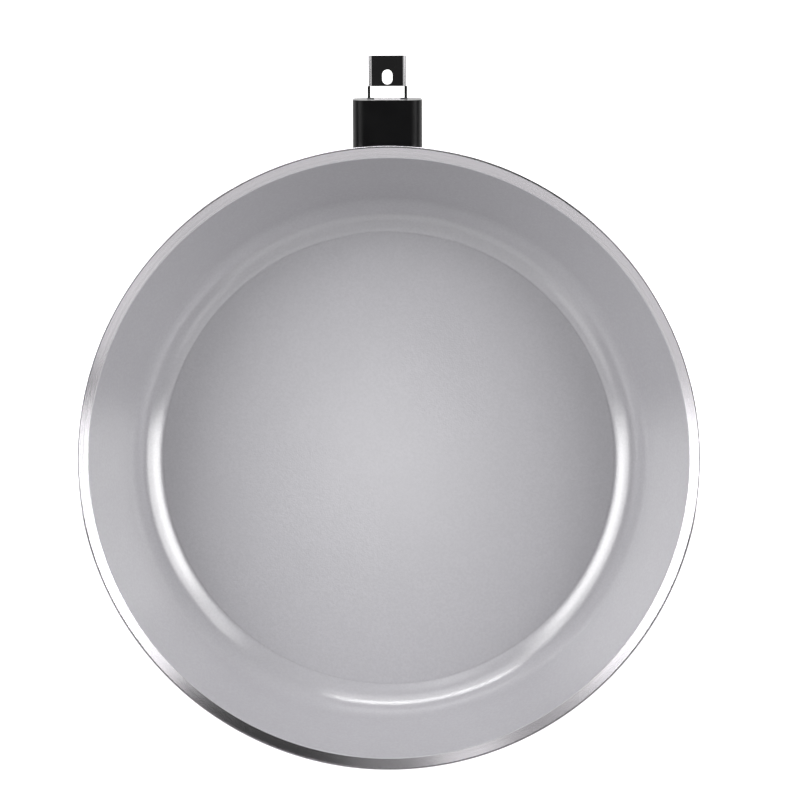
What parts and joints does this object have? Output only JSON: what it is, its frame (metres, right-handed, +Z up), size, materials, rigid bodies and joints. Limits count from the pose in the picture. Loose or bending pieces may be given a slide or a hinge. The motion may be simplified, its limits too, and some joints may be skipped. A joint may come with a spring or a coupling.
{
  "type": "frying pan",
  "caption": "Round frying pan with a ceramic coated inside, a steel induction base and a short sleeved steel tongue that takes a separate handle.",
  "frame": {"origin": "centre of the flat underside, on the pan's axis", "axes": "+Z up along the pan's axis, +Y outward through the handle stub, +X to the right seen from above"},
  "size_m": [0.28, 0.3224, 0.056],
  "materials": {
    "bare_aluminium": "turned and polished",
    "ceramic_coating": "glossy with a fine orange peel",
    "base_steel": "circular brushed",
    "cast_aluminium": "satin",
    "black_phenolic": "moulded satin",
    "polished_steel": "mirror polished",
    "zinc_steel": "zinc plated"
  },
  "bodies": {
    "root": {"pan_body": "bare_aluminium", "ceramic_coating": "ceramic_coating", "induction_disc": "base_steel", "handle_boss": "cast_aluminium", "handle_sleeve": "black_phenolic", "handle_bracket": "polished_steel", "bracket_screw": "zinc_steel", "flat_washer": "zinc_steel", "spring_washer": "zinc_steel"}
  },
  "joints": []
}
